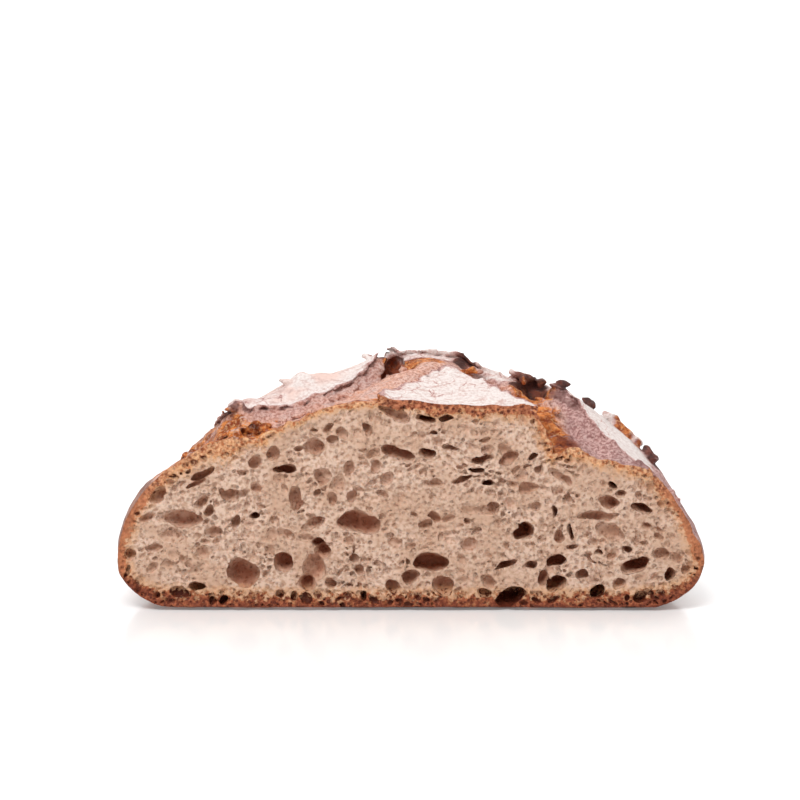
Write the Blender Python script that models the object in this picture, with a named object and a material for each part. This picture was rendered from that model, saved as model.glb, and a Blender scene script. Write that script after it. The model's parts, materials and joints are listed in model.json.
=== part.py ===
"""Half of a round country loaf, standing on its flat base with the cut face towards -Y.

The loaf is a domed body with a rounded bottom corner. Score lines have torn open as it rose, so the
crust between them has lifted in plates with raised lips. A knife has cut it across, and the larger
air holes of the crumb are open in the cut face. Lengths are in metres, with +Z up.

"Depth" is the distance behind the cut face. The model is built with the cut face at Y = 0 and is
moved at the end, so that the origin is at the middle of the bottom of the whole piece.
"""

import math

import bmesh
import bpy
import numpy as np
from mathutils import Matrix, Vector, noise

MM = 0.001

# Driving sizes
LOAF_WIDTH = 0.2512
HALF_WIDTH = LOAF_WIDTH / 2
HALF_DEPTH = 0.120  # from the loaf's middle to its back
MIDDLE_DEPTH = 0.018  # how far behind the cut the loaf is widest
EQUATOR_HEIGHT = 0.021  # the widest level, above the base
DOME_RISE = 0.071  # from there to the top at the cut
BASE_SHARE = 0.76  # the flat base's radius over the widest radius

# The dome's section is a superellipse, fuller on the left shoulder than on the right.
PLAN_POWER = 1.8
SHOULDER_POWER = 0.52
SHOULDER_SKEW = 0.06
SKEW_REACH = 0.060

# The loaf rises further behind the cut, to a crest.
CREST_RISE = 0.0145
CREST_X = 0.010
CREST_REACH_LEFT = 0.060
CREST_REACH_RIGHT = 0.080
CREST_DEPTH = 0.060
CREST_POWER = 3

# Crust plates, in millimetres. Each has an outline, as x and depth, and places whose lift above the
# dome is set, as x, depth and lift. Where the lift is below zero the plate's edge is inside the dough.
PLATES = {
    "left": (
        [
            (-79, 16), (-64, 20), (-51, 23), (-42, 28), (-31, 33), (-22, 39), (-17, 44), (-14, 50), (-22, 62),
            (-38, 75), (-54, 90), (-72, 98), (-88, 80), (-96, 62), (-90, 44), (-83, 28),
        ],
        [
            (-79, 16, 6.5), (-75, 18, 7.0), (-66, 20, 3.0), (-57, 22, 0.0), (-48, 25, -2.5), (-36, 30, -3.0),
            (-27, 36, -3.0), (-20, 40, -1.0), (-17, 45, 2.0), (-14, 50, 5.0), (-24, 60, 3.5), (-73, 32, 7.5),
            (-64, 38, 5.0), (-55, 45, 6.5), (-49, 47, 9.0), (-43, 49, 5.5), (-32, 51, 3.0), (-38, 75, 3.0),
            (-54, 90, 0.0), (-72, 98, -3.0), (-88, 80, -3.0), (-96, 62, -4.0), (-90, 44, -1.0), (-83, 28, 3.0),
        ],
    ),
    "front": (
        [
            (-14, -8), (56, -8), (53, 2), (44, 10), (34, 21), (25, 32), (17, 40), (8, 32), (1, 22), (-6, 14),
            (-12, 8),
        ],
        [
            (-12, 8, 1.5), (-4, -4, -0.5), (11, -4, -2.0), (27, -4, -1.0), (38, -4, 1.5), (51, 2, 5.0),
            (17, 40, -0.5), (-4, 14, 0.5), (2, 22, -1.5), (8, 31, -2.0), (24, 32, 0.0), (34, 20, 3.0),
            (42, 10, 4.5),
        ],
    ),
    "back": (
        [
            (-10, 61), (4, 57), (14, 57), (22, 55), (31, 54), (40, 52), (54, 48), (59.5, 50), (68, 62), (76, 74),
            (88, 86), (66, 108), (28, 122), (-16, 120), (-44, 104), (-28, 84), (-17, 72),
        ],
        [
            (-9, 62, 8.5), (-4, 60, 5.0), (4, 60, 5.0), (14, 58, 4.5), (22, 55, 5.0), (28, 54, 2.5), (35, 53, 1.5),
            (41, 52, 1.5), (47, 50, 4.0), (54, 48, 6.5), (60, 53, 6.0), (72, 70, 3.0), (88, 86, -2.0),
            (66, 108, -3.0), (28, 122, -3.0), (-16, 120, -3.0), (-44, 104, -2.0), (-28, 84, 3.0), (-17, 72, 4.0),
            (18, 74, 5.0), (20, 98, 2.0),
        ],
    ),
    "right": (
        [
            (60.5, 38), (66, 37), (72, 33), (75, 26), (82.5, 16.5), (92.5, 8), (100.5, 0.5), (108, -8),
            (120, -8), (118, 14), (113, 40), (100, 66), (88, 74), (72, 62), (62, 50),
        ],
        [
            (60.5, 38, 8.0), (65, 40, 10.0), (71.5, 34, 8.5), (74, 27, 4.5), (82, 17, 2.0), (92.5, 8, 1.5),
            (100, 0, 4.0), (108, -6, 3.0), (120, -8, -3.0), (118, 14, -4.0), (113, 40, -4.0), (100, 66, -3.0),
            (88, 74, 0.0), (72, 62, 5.0), (62, 50, 7.5), (78, 42, 7.5), (84, 40, 7.0), (90.5, 36, 6.5),
            (97, 32, 6.0), (101.5, 26, 5.5), (106, 18, 3.5), (111, 14, -0.5),
        ],
    ),
}
PLATE_THICKNESS = 0.0052  # straight down
OUTLINE_STEP = 0.006
OUTLINE_WANDER = 0.0016  # how far a lip strays to either side of its line
RINGS = (1.0, 0.86, 0.62, 0.32)  # the rings of points in a plate, as shares of its outline
FILL_BELOW_PLATE = 0.0022
FILL_INSET = 0.002  # how far the dough under a lip is set back from it
TALUS = 0.012  # the width of the torn slope under a lip

# Tears: points of the middle line as x and depth in millimetres, then half width, then fall.
TEARS = [
    ([(61, -20), (61, 2), (54, 14), (42, 30), (30, 44)], 0.0070, 0.0090),
    ([(76, -20), (78, 2), (70, 14)], 0.010, 0.0050),
    ([(-64, 4), (-50, 12), (-32, 22), (-20, 34), (-15, 42)], 0.011, 0.0050),
    ([(111, 14), (114, -4)], 0.008, 0.0050),
    ([(-96, 18), (-104, 30), (-108, 42)], 0.010, 0.0045),
    ([(-7, 48), (-2, 40)], 0.0045, 0.0045),
    ([(57, 44), (66, 56), (84, 74)], 0.007, 0.0050),
    ([(-12, 60), (-20, 70), (-34, 84), (-50, 100)], 0.006, 0.0045),
]

# Flakes and crumbs that stand on the crust, in millimetres: x, depth, how far the middle is above
# the dough, length, width and thickness. The last two are the heading and the slant, in degrees.
FLAKES = [
    (53, 47, 2.6, 13, 8, 3.4, -20, 14), (46, 43, 1.0, 9, 6, 4.0, 30, 5), (-13, 55, 2.4, 12, 6, 3.0, 15, 8),
    (-18, 52, 2.0, 8, 5, 3.0, -30, 8), (-55, 42, 2.2, 7, 5, 2.6, 20, 8), (-75, 22, 2.2, 12, 7, 3.2, 25, -8),
    (79, 46, 3.0, 9, 6, 3.4, -60, -4), (90, 37, 3.4, 13, 5, 4.0, -50, -8), (101, 25, 2.6, 12, 5, 3.4, -60, -8),
    (-3, 47, 1.0, 9, 6, 4.6, 40, 0), (4, 50, 1.5, 9, 7, 5.0, -20, 0), (54, 20, 1.0, 10, 6, 4.0, -60, 0),
    (-90, 10, 0.5, 11, 6, 3.6, 20, 0), (-72, 7, 0.5, 12, 6, 3.4, 0, 0), (67, 16, 1.0, 9, 5, 3.6, -50, 0),
    (112, 10, 0.5, 8, 5, 3.2, -60, 0), (-94, 14, 2.0, 10, 5, 3.2, 35, -20), (51, 36, 1.0, 12, 6, 4.0, -50, 8),
]
FLAKE_UNEVENNESS = 0.35

# Hollows in the torn dough, in millimetres: x, depth, height and the three half sizes.
POCKETS = [(-7.5, 53, 96.0, 4.2, 10, 5.2), (66.5, 7, 73.0, 6.0, 6, 4.4)]

# The larger air holes in the cut face, as x, height, width, tallness, tilt in degrees and depth.
# All lengths here are in millimetres. The tilt is anticlockwise, as seen from the front.
HOLES = [
    (-97.8, 39.2, 20.0, 7.0, 0, 4.5), (-100.4, 32.4, 11.0, 4.6, 0, 2.5), (-83.1, 33.5, 6.5, 5.5, 40, 3.5),
    (-73.8, 37.9, 5.5, 6.2, 0, 3.5), (-66.5, 40.5, 4.4, 3.2, 10, 5.0), (-48.5, 48.0, 5.5, 9.5, 0, 4.0),
    (-53.3, 60.1, 8.5, 4.2, 5, 4.5), (-37.7, 57.5, 7.4, 8.0, 0, 3.5), (-30.6, 55.0, 6.2, 8.3, 0, 3.0),
    (-22.0, 38.3, 19.5, 9.0, -6, 10.0), (-41.2, 39.0, 11.0, 4.4, 22, 3.5), (-44.2, 32.4, 5.6, 4.8, 20, 3.0),
    (-37.2, 25.8, 7.4, 10.0, -10, 6.5), (-54.2, 20.5, 8.0, 8.4, 0, 6.0), (-71.6, 15.9, 16.0, 12.4, -8, 5.5),
    (-40.4, 18.0, 10.0, 10.0, -20, 5.0), (-43.6, 11.6, 6.8, 6.4, 0, 7.0), (-25.0, 22.6, 4.7, 5.7, 0, 4.0),
    (-34.0, 12.4, 5.4, 5.4, 0, 3.5), (-118.6, 24.4, 3.6, 6.6, -12, 4.0), (-90.0, 10.4, 7.3, 3.0, -8, 6.0),
    (-88.3, 59.4, 13.0, 4.6, 28, 5.0), (-107.0, 49.2, 8.6, 4.4, 48, 4.0), (-8.4, 10.4, 6.4, 6.6, 0, 5.0),
    (8.6, 20.5, 18.5, 7.8, 3, 11.0), (-1.0, 14.6, 7.0, 5.0, 15, 5.0), (14.7, 11.4, 9.4, 8.4, 0, 5.5),
    (47.8, 34.4, 9.0, 6.4, 8, 9.0), (50.0, 52.5, 7.7, 6.1, -8, 3.5), (28.6, 61.5, 7.0, 4.0, 8, 5.0),
    (32.6, 53.3, 4.0, 3.0, 10, 6.0), (33.9, 44.8, 5.2, 4.4, 0, 4.0), (9.4, 40.2, 7.7, 3.8, -20, 4.0),
    (64.3, 57.0, 10.0, 3.4, -36, 3.5), (85.3, 54.3, 4.4, 3.8, -35, 7.0), (84.0, 46.6, 9.8, 5.0, -10, 6.0),
    (98.0, 44.6, 8.0, 4.4, -26, 6.5), (81.0, 40.6, 17.0, 3.4, -3, 4.0), (84.4, 34.2, 13.7, 6.4, -16, 3.5),
    (95.4, 19.6, 10.7, 6.2, 12, 9.0), (105.8, 24.0, 8.0, 7.6, 0, 4.5), (108.4, 14.6, 4.8, 7.0, -18, 6.5),
    (61.8, 21.3, 8.5, 5.6, 18, 7.0), (62.6, 12.6, 8.1, 5.2, 24, 8.0), (41.7, 20.5, 12.0, 3.8, 12, 4.5),
    (73.0, 15.6, 5.6, 4.4, 28, 4.0), (79.6, 8.8, 8.6, 5.6, 36, 9.0), (43.0, 7.2, 13.0, 6.6, 8, 10.0),
    (89.5, 12.4, 6.0, 5.2, 32, 4.5), (-6.0, 67.3, 13.0, 6.0, -10, 9.0), (7.6, 67.8, 7.4, 5.2, 0, 7.0),
    (5.4, 82.0, 5.6, 3.6, 0, 7.0), (14.2, 81.8, 7.5, 2.8, -4, 4.0), (30.0, 66.8, 7.7, 3.9, 4, 7.0),
    (40.4, 66.8, 8.0, 3.6, 32, 4.5), (50.9, 66.4, 5.6, 3.2, 32, 3.5), (-41.2, 71.0, 8.5, 7.6, 0, 3.5),
    (-56.8, 67.0, 6.0, 4.6, 55, 4.0), (-15.4, 62.0, 4.8, 5.7, -20, 3.0), (-65.6, 63.4, 6.4, 5.0, 10, 3.5),
]
HOLE_UNEVENNESS = 0.18
BODY_CUTS = 31
TOWARDS_TOP = Vector((0, -0.04, 0.35))  # brings the body's points closer together on top
RELIEF_FADE = 0.35  # the share of the dome's rise over which the relief fades out, down to the rim
KNIFE_SIZE = 0.4
BREAD_COLOUR = (0.50, 0.31, 0.21, 1.0)
BREAD_ROUGHNESS = 0.85


def clear_scene():
    for obj in list(bpy.data.objects):
        bpy.data.objects.remove(obj)


def new_collection(name):
    collection = bpy.data.collections.new(name)
    bpy.context.scene.collection.children.link(collection)
    return collection


def new_object(name, bm, collection):
    bmesh.ops.recalc_face_normals(bm, faces=bm.faces)
    mesh = bpy.data.meshes.new(name)
    bm.to_mesh(mesh)
    bm.free()
    obj = bpy.data.objects.new(name, mesh)
    collection.objects.link(obj)
    return obj


def shoulder_power(x):
    return SHOULDER_POWER + SHOULDER_SKEW * math.tanh(x / SKEW_REACH)


def dome_share(x, depth):
    """The dome's height at a place, over the height of its top, from 0 at the rim to 1."""
    radius = math.hypot(x / HALF_WIDTH, (depth - MIDDLE_DEPTH) / HALF_DEPTH)
    return max(0.0, 1 - radius**PLAN_POWER) ** shoulder_power(x)


def crest_height(x, depth):
    """How much the loaf rises behind the cut, above the plain dome."""
    along = max(0.0, depth) / CREST_DEPTH
    reach = CREST_REACH_LEFT if x < CREST_X else CREST_REACH_RIGHT
    across = math.exp(-(((x - CREST_X) / reach) ** 2))
    return CREST_RISE * (along * math.exp(1 - along)) ** CREST_POWER * across * dome_share(x, depth) ** 2


def distance_to_line(x, depth, points):
    """The distance from a place to a line through the points, which are in millimetres."""
    place = Vector((x, depth))
    nearest = math.inf
    for first, second in zip(points, points[1:]):
        a, b = Vector(first) * MM, Vector(second) * MM
        share = (place - a).dot(b - a) / (b - a).length_squared
        foot = a.lerp(b, min(1.0, max(0.0, share)))
        nearest = min(nearest, (place - foot).length)
    return nearest


def depth_inside(x, depth, outline):
    """The distance from a place to an outline: positive inside it and negative outside."""
    inside = False
    closed = outline + outline[:1]
    for first, second in zip(closed, closed[1:]):
        (ax, ay), (bx, by) = Vector(first) * MM, Vector(second) * MM
        if (ay > depth) != (by > depth) and x < ax + (depth - ay) / (by - ay) * (bx - ax):
            inside = not inside
    distance = distance_to_line(x, depth, closed)
    return distance if inside else -distance


def plate_lift(x, depth, lifts):
    """A plate's height above the dome: the lifts that are set, weighted by nearness."""
    total = weights = 0.0
    for px, py, lift in lifts:
        weight = 1 / ((x / MM - px) ** 2 + (depth / MM - py) ** 2 + 4.0) ** 1.5
        total += weight * lift * MM
        weights += weight
    return total / weights


def smooth_step(value):
    t = min(1.0, max(0.0, value))
    return t * t * (3 - 2 * t)


def fill_height(x, depth):
    """The dough's height above the dome: it fills the space under the plates and falls in the tears."""
    height = crest_height(x, depth)
    for points, half_width, fall in TEARS:
        height -= fall * math.exp(-((distance_to_line(x, depth, points) / half_width) ** 2))
    for outline, lifts in PLATES.values():
        share = smooth_step(1 + (depth_inside(x, depth, outline) - FILL_INSET) / TALUS)
        if share > 0:
            under_plate = crest_height(x, depth) + plate_lift(x, depth, lifts) - FILL_BELOW_PLATE
            height += share * (under_plate - height)
    return height


def body_point(direction):
    """Where a point of the unit sphere lies on the loaf's body, before the knife cuts it."""
    across = math.hypot(direction.x, direction.y)
    angle = math.atan2(direction.z, across)
    heading_x, heading_y = (direction.x / across, direction.y / across) if across else (0.0, 0.0)
    if angle >= 0:
        radius = math.cos(angle) ** (2 / PLAN_POWER)
    elif angle > -math.pi / 4:
        radius = BASE_SHARE + (1 - BASE_SHARE) * math.cos(2 * angle)
    else:
        radius = BASE_SHARE * 2 * (angle / (math.pi / 2) + 1)
    x = HALF_WIDTH * radius * heading_x
    depth = MIDDLE_DEPTH + HALF_DEPTH * radius * heading_y
    if angle >= 0:
        share = math.sin(angle) ** (2 * shoulder_power(x))
        fade = smooth_step(share / RELIEF_FADE)
        z = EQUATOR_HEIGHT + DOME_RISE * share + fade * fill_height(x, depth)
    elif angle > -math.pi / 4:
        z = EQUATOR_HEIGHT * (1 + math.sin(2 * angle))
    else:
        z = 0.0
    return Vector((x, depth, z))


def make_body(collection):
    """A cube is subdivided and swollen to an even sphere, and each of its points is put on the loaf."""
    bm = bmesh.new()
    bmesh.ops.create_cube(bm, size=2)
    bmesh.ops.subdivide_edges(bm, edges=bm.edges[:], cuts=BODY_CUTS, use_grid_fill=True)
    for vert in bm.verts:
        even = Vector(math.tan(c * math.pi / 4) for c in vert.co).normalized()
        vert.co = body_point((even + TOWARDS_TOP).normalized())
    base = [face for face in bm.faces if all(vert.co.z < 1e-6 for vert in face.verts)]
    bmesh.ops.dissolve_faces(bm, faces=base)
    bmesh.ops.triangulate(bm, faces=bm.faces)
    return new_object("half_loaf", bm, collection)


def walk_outline(outline):
    """Points every OUTLINE_STEP or so along a plate's outline, straying a little to either side."""
    places = []
    for first, second in zip(outline, outline[1:] + outline[:1]):
        a, b = Vector(first) * MM, Vector(second) * MM
        steps = max(1, round((b - a).length / OUTLINE_STEP))
        places += [a.lerp(b, step / steps) for step in range(steps)]
    for place in places:
        seat = Vector((place.x, place.y, 0)) / OUTLINE_STEP
        strays = [noise.noise(seat), noise.noise(seat + Vector((0, 0, 9.5)))]
        place += OUTLINE_WANDER * Vector(strays)
    return places


def plate_point(place, lifts):
    share = dome_share(place.x, place.y)
    height = DOME_RISE * share + crest_height(place.x, place.y) + plate_lift(place.x, place.y, lifts)
    return Vector((place.x, place.y, EQUATOR_HEIGHT + height))


def make_plate(name, outline, lifts, collection):
    """A plate of crust: an upper and a lower face, each of rings of points, and the side between them."""
    places = walk_outline(outline)
    count = len(places)
    centre = sum(places, Vector((0, 0))) / count
    bm = bmesh.new()
    sides = []
    for fall in (0.0, PLATE_THICKNESS):
        down = Vector((0, 0, -fall))
        rings = []
        for share in RINGS:
            spots = [centre.lerp(place, share) for place in places]
            rings.append([bm.verts.new(plate_point(spot, lifts) + down) for spot in spots])
        middle = bm.verts.new(plate_point(centre, lifts) + down)
        for i in range(count):
            j = (i + 1) % count
            for outer, inner in zip(rings, rings[1:]):
                bm.faces.new((outer[i], outer[j], inner[j], inner[i]))
            bm.faces.new((rings[-1][i], rings[-1][j], middle))
        sides.append(rings[0])
    upper, lower = sides
    for i in range(count):
        j = (i + 1) % count
        bm.faces.new((upper[i], upper[j], lower[j], lower[i]))
    bmesh.ops.triangulate(bm, faces=bm.faces)
    return new_object("plate_" + name, bm, collection)


def make_flake(index, flake, collection):
    """A broken flake of crust or a crumb, partly sunk in what it stands on."""
    x, depth, above, length, width, thickness, heading, slant = flake
    bm = bmesh.new()
    bmesh.ops.create_icosphere(bm, subdivisions=1, radius=1)
    seat = Vector((index * 5.3, 0, 0))
    for vert in bm.verts:
        vert.co *= 1 + FLAKE_UNEVENNESS * noise.noise(vert.co * 2.1 + seat)
        vert.co = Vector((vert.co.x * length, vert.co.y * width, vert.co.z * thickness)) * MM / 2
    obj = new_object(f"flake_{index:02d}", bm, collection)
    place = Vector((x, depth)) * MM
    dough = EQUATOR_HEIGHT + DOME_RISE * dome_share(*place) + fill_height(*place)
    obj.location = (place.x, place.y, dough + above * MM)
    obj.rotation_euler = (0, math.radians(slant), math.radians(heading))
    return obj


def make_hole(index, hole, collection):
    """An uneven egg that opens through the cut face."""
    x, height, width, tallness, tilt, depth = hole
    bm = bmesh.new()
    bmesh.ops.create_icosphere(bm, subdivisions=2, radius=1)
    seat = Vector((index * 3.7, 0, 0))
    for vert in bm.verts:
        vert.co *= 1 + HOLE_UNEVENNESS * noise.noise(vert.co * 1.3 + seat)
        vert.co = Vector((vert.co.x * width / 2, vert.co.y * depth, vert.co.z * tallness / 2)) * MM
    obj = new_object(f"hole_{index:02d}", bm, collection)
    obj.location = (x * MM, 0, height * MM)
    obj.rotation_euler = (0, -math.radians(tilt), 0)
    return obj


def make_pocket(index, pocket, collection):
    """An uneven hollow in the torn dough."""
    bm = bmesh.new()
    bmesh.ops.create_icosphere(bm, subdivisions=1, radius=1)
    seat = Vector((index * 6.1, 0, 0))
    for vert in bm.verts:
        vert.co *= 1 + HOLE_UNEVENNESS * noise.noise(vert.co * 1.3 + seat)
        vert.co = Vector(c * half for c, half in zip(vert.co, pocket[3:])) * MM
    obj = new_object(f"pocket_{index:02d}", bm, collection)
    obj.location = Vector(pocket[:3]) * MM
    return obj


def make_knife(collection):
    """A block that takes away all of the loaf in front of the cut."""
    bm = bmesh.new()
    bmesh.ops.create_cube(bm, size=KNIFE_SIZE)
    obj = new_object("knife", bm, collection)
    obj.location = (0, -KNIFE_SIZE / 2, 0)
    return obj


def as_helper(obj):
    obj.hide_render = True
    obj.display_type = "WIRE"


def add_boolean(obj, operation, helper):
    boolean = obj.modifiers.new(helper.name, "BOOLEAN")
    boolean.operation = operation
    boolean.solver = "EXACT"
    boolean.object = helper


def bread_material():
    material = bpy.data.materials.new("bread")
    material.use_nodes = True
    shader = material.node_tree.nodes["Principled BSDF"]
    shader.inputs["Base Color"].default_value = BREAD_COLOUR
    shader.inputs["Roughness"].default_value = BREAD_ROUGHNESS
    shader.inputs["Metallic"].default_value = 0.0
    return material


def bake_modifiers(obj):
    """Replaces the body's mesh by what its modifiers make."""
    graph = bpy.context.evaluated_depsgraph_get()
    mesh = bpy.data.meshes.new_from_object(obj.evaluated_get(graph))
    obj.modifiers.clear()
    obj.data = mesh


def keep_outer_shell(obj):
    """Fills the pockets that the plates close off over the dough, by removing every inner shell."""
    bm = bmesh.new()
    bm.from_mesh(obj.data)
    waiting = set(bm.faces)
    shells = []
    while waiting:
        shell = [waiting.pop()]
        for face in shell:
            joins = [edge for edge in face.edges if len(edge.link_faces) == 2]
            near = {other for edge in joins for other in edge.link_faces} & waiting
            waiting -= near
            shell.extend(near)
        shells.append(shell)
    shells.sort(key=len)
    inner = [face for shell in shells[:-1] for face in shell]
    bmesh.ops.delete(bm, geom=inner, context="FACES")
    bm.to_mesh(obj.data)
    bm.free()


def move_to_origin(obj):
    """Puts the origin at the middle of the bottom of the piece's box."""
    places = np.array([vert.co for vert in obj.data.vertices])
    low, high = places.min(axis=0), places.max(axis=0)
    middle = Vector(((low[0] + high[0]) / 2, (low[1] + high[1]) / 2, low[2]))
    obj.data.transform(Matrix.Translation(-middle))


def main():
    clear_scene()
    loaf_parts = new_collection("half_country_loaf")
    helpers = new_collection("helpers")
    body = make_body(loaf_parts)
    added = [make_plate(name, outline, lifts, helpers) for name, (outline, lifts) in PLATES.items()]
    added += [make_flake(index, flake, helpers) for index, flake in enumerate(FLAKES)]
    cut = [make_knife(helpers)]
    cut += [make_pocket(index, pocket, helpers) for index, pocket in enumerate(POCKETS)]
    cut += [make_hole(index, hole, helpers) for index, hole in enumerate(HOLES)]
    for helper in added:
        add_boolean(body, "UNION", helper)
    for helper in cut:
        add_boolean(body, "DIFFERENCE", helper)
    for helper in added + cut:
        as_helper(helper)
    bpy.context.view_layer.update()
    bake_modifiers(body)
    keep_outer_shell(body)
    for helper in added + cut:
        bpy.data.objects.remove(helper)
    move_to_origin(body)
    body.data.materials.clear()
    body.data.materials.append(bread_material())
    body.data.shade_smooth()
    body.data.set_sharp_from_angle(angle=math.radians(35))


main()
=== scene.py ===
"""Half of a round country loaf on a white ground, with its cut face to the front.

The loaf is one field on a grid: each point's distance outside the bread, in millimetres. The outer
shape, the crust plates, the air holes and the cut are put into the field in turn, and its surface is
then turned into meshes. Colour masks are worked out at the points of the meshes and stored on them.

Lengths are in millimetres, and "depth" is the distance behind the cut face.
"""

import json
import math

import bpy
import numpy as np
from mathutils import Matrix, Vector

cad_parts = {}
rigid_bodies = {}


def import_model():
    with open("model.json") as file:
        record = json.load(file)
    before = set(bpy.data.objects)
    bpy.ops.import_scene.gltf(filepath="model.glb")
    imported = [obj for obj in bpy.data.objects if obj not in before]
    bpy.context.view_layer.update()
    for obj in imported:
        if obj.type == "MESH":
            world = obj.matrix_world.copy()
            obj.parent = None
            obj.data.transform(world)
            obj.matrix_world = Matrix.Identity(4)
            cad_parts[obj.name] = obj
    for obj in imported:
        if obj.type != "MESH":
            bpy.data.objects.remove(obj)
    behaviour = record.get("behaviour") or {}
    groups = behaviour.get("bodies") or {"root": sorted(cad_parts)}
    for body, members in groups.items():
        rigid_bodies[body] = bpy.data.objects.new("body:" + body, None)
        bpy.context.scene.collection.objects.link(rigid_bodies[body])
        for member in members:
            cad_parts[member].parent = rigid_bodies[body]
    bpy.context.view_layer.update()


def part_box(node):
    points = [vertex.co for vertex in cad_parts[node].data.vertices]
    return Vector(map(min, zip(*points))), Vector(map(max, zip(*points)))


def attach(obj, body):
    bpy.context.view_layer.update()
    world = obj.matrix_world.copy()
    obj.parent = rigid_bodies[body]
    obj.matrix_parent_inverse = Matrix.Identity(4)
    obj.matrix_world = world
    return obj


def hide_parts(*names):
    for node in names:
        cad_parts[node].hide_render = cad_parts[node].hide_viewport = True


for startup_object in list(bpy.data.objects):
    bpy.data.objects.remove(startup_object)

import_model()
LOAF_LOW, LOAF_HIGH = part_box("half_loaf")
FACE_Y = LOAF_LOW[1]
MIDDLE_X = (LOAF_LOW[0] + LOAF_HIGH[0]) / 2
MM = 0.001

# Outer shape
HALF_WIDTH = 125.6
HALF_DEPTH = 120.0
MIDDLE_DEPTH = 18.0
EQUATOR_HEIGHT = 21.0
DOME_RISE = 71.0
BASE_SHARE = 0.76
PLAN_POWER = 1.8
SHOULDER_POWER = 0.52
SHOULDER_SKEW = 0.06
SKEW_REACH = 60.0
CREST_RISE = 14.5
CREST_X = 10.0
CREST_REACH_LEFT = 60.0
CREST_REACH_RIGHT = 80.0
CREST_DEPTH = 60.0
CREST_POWER = 3
RELIEF_FADE = 0.35
LEAST_TILT = 0.25  # least share of a height that counts as distance, where the top is steep

# Crust plates: each has an outline, as x and depth, and places with their lift above the dome.
PLATES = {
    "left": (
        [
            (-79, 16), (-64, 20), (-51, 23), (-42, 28), (-31, 33), (-22, 39), (-17, 44), (-14, 50),
            (-22, 62), (-38, 75), (-54, 90), (-72, 98), (-88, 80), (-96, 62), (-90, 44), (-83, 28),
        ],
        [
            (-79, 16, 6.5), (-75, 18, 7), (-66, 20, 3), (-57, 22, 0), (-48, 25, -2.5),
            (-36, 30, -3), (-27, 36, -3), (-20, 40, -1), (-17, 45, 2), (-14, 50, 5),
            (-24, 60, 3.5), (-73, 32, 7.5), (-64, 38, 5), (-55, 45, 6.5), (-49, 47, 9),
            (-43, 49, 5.5), (-32, 51, 3), (-38, 75, 3), (-54, 90, 0), (-72, 98, -3),
            (-88, 80, -3), (-96, 62, -4), (-90, 44, -1), (-83, 28, 3),
        ],
    ),
    "front": (
        [
            (-14, -8), (56, -8), (53, 2), (44, 10), (34, 21), (25, 32), (17, 40), (8, 32), (1, 22),
            (-6, 14), (-12, 8),
        ],
        [
            (-12, 8, 1.5), (-4, -4, -0.5), (11, -4, -2), (27, -4, -1), (38, -4, 1.5), (51, 2, 5),
            (17, 40, -0.5), (-4, 14, 0.5), (2, 22, -1.5), (8, 31, -2), (24, 32, 0), (34, 20, 3),
            (42, 10, 4.5),
        ],
    ),
    "back": (
        [
            (-10, 61), (4, 57), (14, 57), (22, 55), (31, 54), (40, 52), (54, 48), (59.5, 50), (68, 62),
            (76, 74), (88, 86), (66, 108), (28, 122), (-16, 120), (-44, 104), (-28, 84), (-17, 72),
        ],
        [
            (-9, 62, 8.5), (-4, 60, 5), (4, 60, 5), (14, 58, 4.5), (22, 55, 5), (28, 54, 2.5),
            (35, 53, 1.5), (41, 52, 1.5), (47, 50, 4), (54, 48, 6.5), (60, 53, 6), (72, 70, 3),
            (88, 86, -2), (66, 108, -3), (28, 122, -3), (-16, 120, -3), (-44, 104, -2),
            (-28, 84, 3), (-17, 72, 4), (18, 74, 5), (20, 98, 2),
        ],
    ),
    "right": (
        [
            (60.5, 38), (66, 37), (72, 33), (75, 26), (82.5, 16.5), (92.5, 8), (100.5, 0.5), (108, -8),
            (120, -8), (118, 14), (113, 40), (100, 66), (88, 74), (72, 62), (62, 50),
        ],
        [
            (60.5, 38, 8), (65, 40, 10), (71.5, 34, 8.5), (74, 27, 4.5), (82, 17, 2),
            (92.5, 8, 1.5), (100, 0, 4), (108, -6, 3), (120, -8, -3), (118, 14, -4),
            (113, 40, -4), (100, 66, -3), (88, 74, 0), (72, 62, 5), (62, 50, 7.5),
            (78, 42, 7.5), (84, 40, 7), (90.5, 36, 6.5), (97, 32, 6), (101.5, 26, 5.5),
            (106, 18, 3.5), (111, 14, -0.5),
        ],
    ),
}
PLATE_THICKNESS = 3.4
LIP_THICKNESS = 1.3
LIP_CURL = {"left": 0.6, "front": 0.6, "back": 0.6, "right": 0.0}
FILL_BELOW = {"left": 1.1, "front": 1.6, "back": 1.2, "right": 0.2}  # how far the dough lies under a plate
FILL_INSET = 2.5
TALUS = 11.0

# Roughness of the shape: seed and spacing of each noise
WANDER_BROAD = (1, 7.0)
WANDER_FINE = (2, 2.6)
WANDER_FINEST = (3, 1.6)
PLATE_WAVES = (5, 9.0)
LUMPS = (21, 4.5)
SHREDS = (22, 1.8)
BUMPS = (23, 2.6)
FACE_BROAD = (51, 9.0)
FACE_FINE = (52, 2.2)
HOLE_BROAD_SEED, HOLE_BROAD_SPACING, HOLE_BROAD_BEND = 31, 5.0, 1.05
HOLE_FINE_SEED, HOLE_FINE_SPACING, HOLE_FINE_BEND = 41, 1.9, 0.4

# Tears: points of the middle line as x and depth, then half width, then drop.
TEARS = [
    ([(61, -20), (61, 2), (54, 14), (42, 30), (30, 44)], 7, 9),
    ([(76, -20), (78, 2), (70, 14)], 10, 5),
    ([(-64, 4), (-50, 12), (-32, 22), (-20, 34), (-15, 42)], 11, 5),
    ([(111, 14), (114, -4)], 8, 5),
    ([(-96, 18), (-104, 30), (-108, 42)], 10, 4.5),
    ([(-7, 48), (-2, 40)], 4.5, 4.5),
    ([(57, 42), (60, 50), (66, 58), (84, 74)], 7, 8),
    ([(-92, 16), (-80, 14)], 6, 2.5),
    ([(-12, 60), (-20, 70), (-34, 84), (-50, 100)], 6, 4.5),
]

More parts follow.
